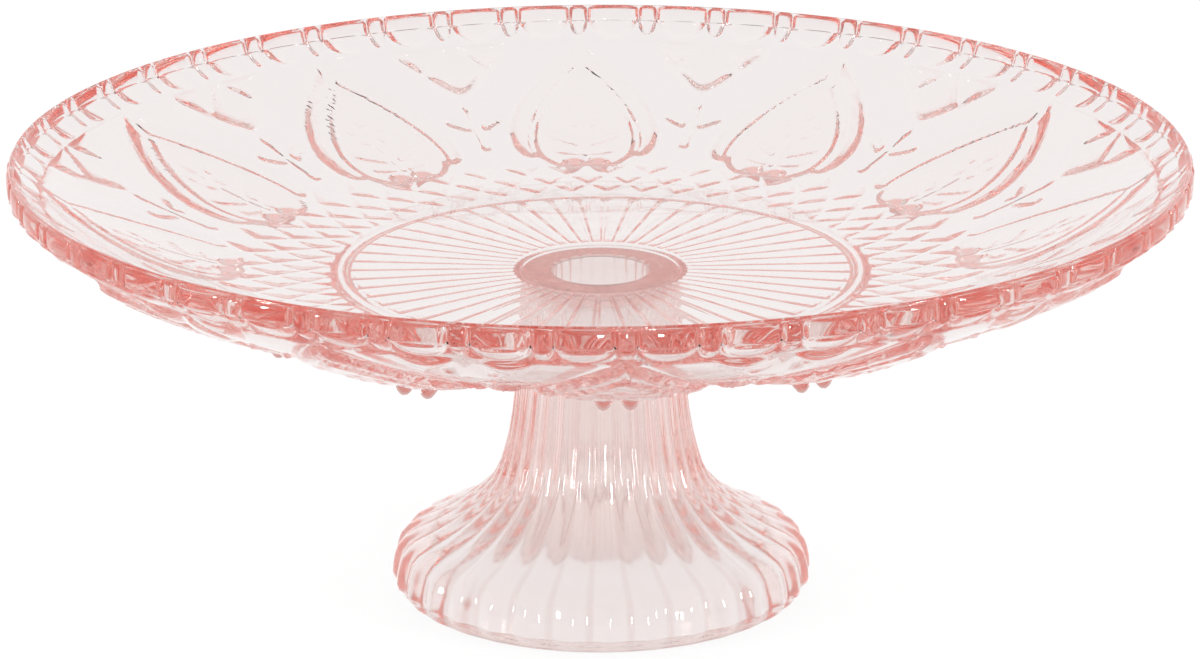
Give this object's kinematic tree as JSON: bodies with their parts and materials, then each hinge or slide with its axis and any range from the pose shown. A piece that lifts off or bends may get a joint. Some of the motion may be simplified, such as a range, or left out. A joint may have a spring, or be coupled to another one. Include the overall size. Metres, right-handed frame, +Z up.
{
  "type": "cake stand",
  "caption": "Pressed glass cake stand: shallow round dish with leaf and diamond relief underneath and a blocked rim, on a hollow fluted pedestal foot",
  "frame": {"origin": "centre of the foot's resting ring, on the table", "axes": "+Z up out of the dish, +X through the middle of one leaf panel, +Y through the middle of another"},
  "size_m": [0.3, 0.3, 0.117],
  "materials": {
    "pink_glass": "gloss",
    "foot_glass": "gloss",
    "clear_bond": "gloss"
  },
  "bodies": {
    "root": {"plate": "pink_glass", "pedestal": "foot_glass", "bond_ring": "clear_bond"}
  },
  "joints": []
}
